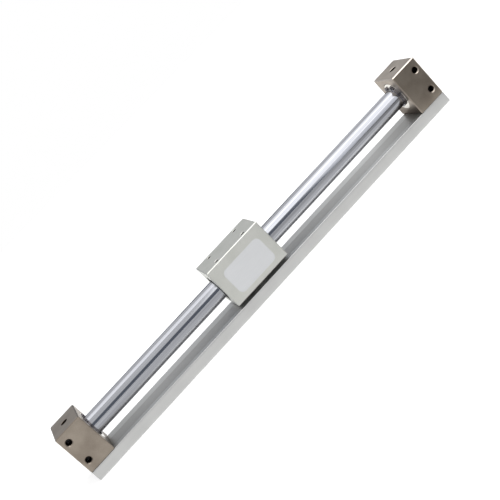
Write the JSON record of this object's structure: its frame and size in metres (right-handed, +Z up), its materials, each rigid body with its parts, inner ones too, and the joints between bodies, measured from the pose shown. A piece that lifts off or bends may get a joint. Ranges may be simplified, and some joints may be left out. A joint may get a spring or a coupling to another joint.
{
  "type": "rodless pneumatic cylinder",
  "caption": "Magnetically coupled rodless air cylinder: a piston inside a thin tube carries an outer slider along it between end covers, above a switch rail.",
  "frame": {"origin": "middle of the switch rail's underside, halfway between the end covers", "axes": "+X along the tube towards the right-hand end cover, +Y across the cylinder to its back, +Z up from the rail to the slider's tapped top"},
  "size_m": [0.276, 0.025, 0.0339],
  "materials": {
    "cover_hard_anodised": "satin champagne hard anodising",
    "slider_anodised": "satin clear anodising",
    "rail_anodised": "fine satin anodising on an extrusion",
    "tube_stainless": "polished drawn stainless steel",
    "ring_bright_anodised": "turned, bright anodised",
    "ring_phosphated": "phosphate-coated spring steel",
    "screw_black_oxide": "black oxide alloy steel",
    "steel_zinc_plated": "zinc-plated rolled steel",
    "shaft_stainless": "turned stainless steel",
    "nitrile_rubber": "moulded black nitrile rubber",
    "urethane_rubber": "moulded amber urethane",
    "wear_ring_resin": "cut resin strip",
    "magnet_nickel": "nickel-plated sintered magnet",
    "piston_brass": "turned brass",
    "spacer_aluminium": "turned aluminium"
  },
  "bodies": {
    "frame": {"cylinder_tube": "tube_stainless", "switch_rail": "rail_anodised", "magnetic_shield_plate": "steel_zinc_plated", "rail_screws": "screw_black_oxide", "end_cover_left": "cover_hard_anodised", "end_cover_right": "cover_hard_anodised", "attachment_ring_left": "ring_bright_anodised", "attachment_ring_right": "ring_bright_anodised", "cover_retaining_ring_left": "ring_phosphated", "cover_retaining_ring_right": "ring_phosphated", "tube_retaining_ring_left": "ring_phosphated", "tube_retaining_ring_right": "ring_phosphated", "tube_gasket_left": "nitrile_rubber", "tube_gasket_right": "nitrile_rubber", "bumper_left": "urethane_rubber", "bumper_right": "urethane_rubber"},
    "slider": {"slider_body": "slider_anodised", "switch_magnet": "magnet_nickel", "slider_magnet_1": "magnet_nickel", "slider_magnet_2": "magnet_nickel", "slider_magnet_3": "magnet_nickel", "slider_magnet_4": "magnet_nickel", "slider_yoke_1": "steel_zinc_plated", "slider_yoke_2": "steel_zinc_plated", "slider_yoke_3": "steel_zinc_plated", "slider_yoke_4": "steel_zinc_plated", "slider_yoke_5": "steel_zinc_plated", "slider_spacer_left": "spacer_aluminium", "slider_spacer_right": "spacer_aluminium", "slider_wear_ring_left": "wear_ring_resin", "slider_wear_ring_right": "wear_ring_resin", "slider_scraper_left": "nitrile_rubber", "slider_scraper_right": "nitrile_rubber", "slider_retaining_ring_left": "ring_phosphated", "slider_retaining_ring_right": "ring_phosphated"},
    "piston": {"piston_shaft": "shaft_stainless", "piston_magnet_1": "magnet_nickel", "piston_magnet_2": "magnet_nickel", "piston_magnet_3": "magnet_nickel", "piston_magnet_4": "magnet_nickel", "piston_yoke_1": "steel_zinc_plated", "piston_yoke_2": "steel_zinc_plated", "piston_yoke_3": "steel_zinc_plated", "piston_yoke_4": "steel_zinc_plated", "piston_yoke_5": "steel_zinc_plated", "piston_head_left": "piston_brass", "piston_head_right": "piston_brass", "piston_seal_left": "nitrile_rubber", "piston_seal_right": "nitrile_rubber", "piston_wear_ring_left": "wear_ring_resin", "piston_wear_ring_right": "wear_ring_resin", "piston_nut_left": "steel_zinc_plated", "piston_nut_right": "steel_zinc_plated"}
  },
  "joints": [
    {"name": "slider_slide", "type": "slide", "parent": "frame", "child": "slider", "axis": [1, 0, 0], "range_m": [-0.0953, 0.1047]},
    {"name": "piston_slide", "type": "slide", "parent": "frame", "child": "piston", "axis": [1, 0, 0], "range_m": [-0.0953, 0.1047]}
  ],
  "couplings": [
    {"joint": "piston_slide", "follows": "slider_slide", "ratio": 1}
  ]
}
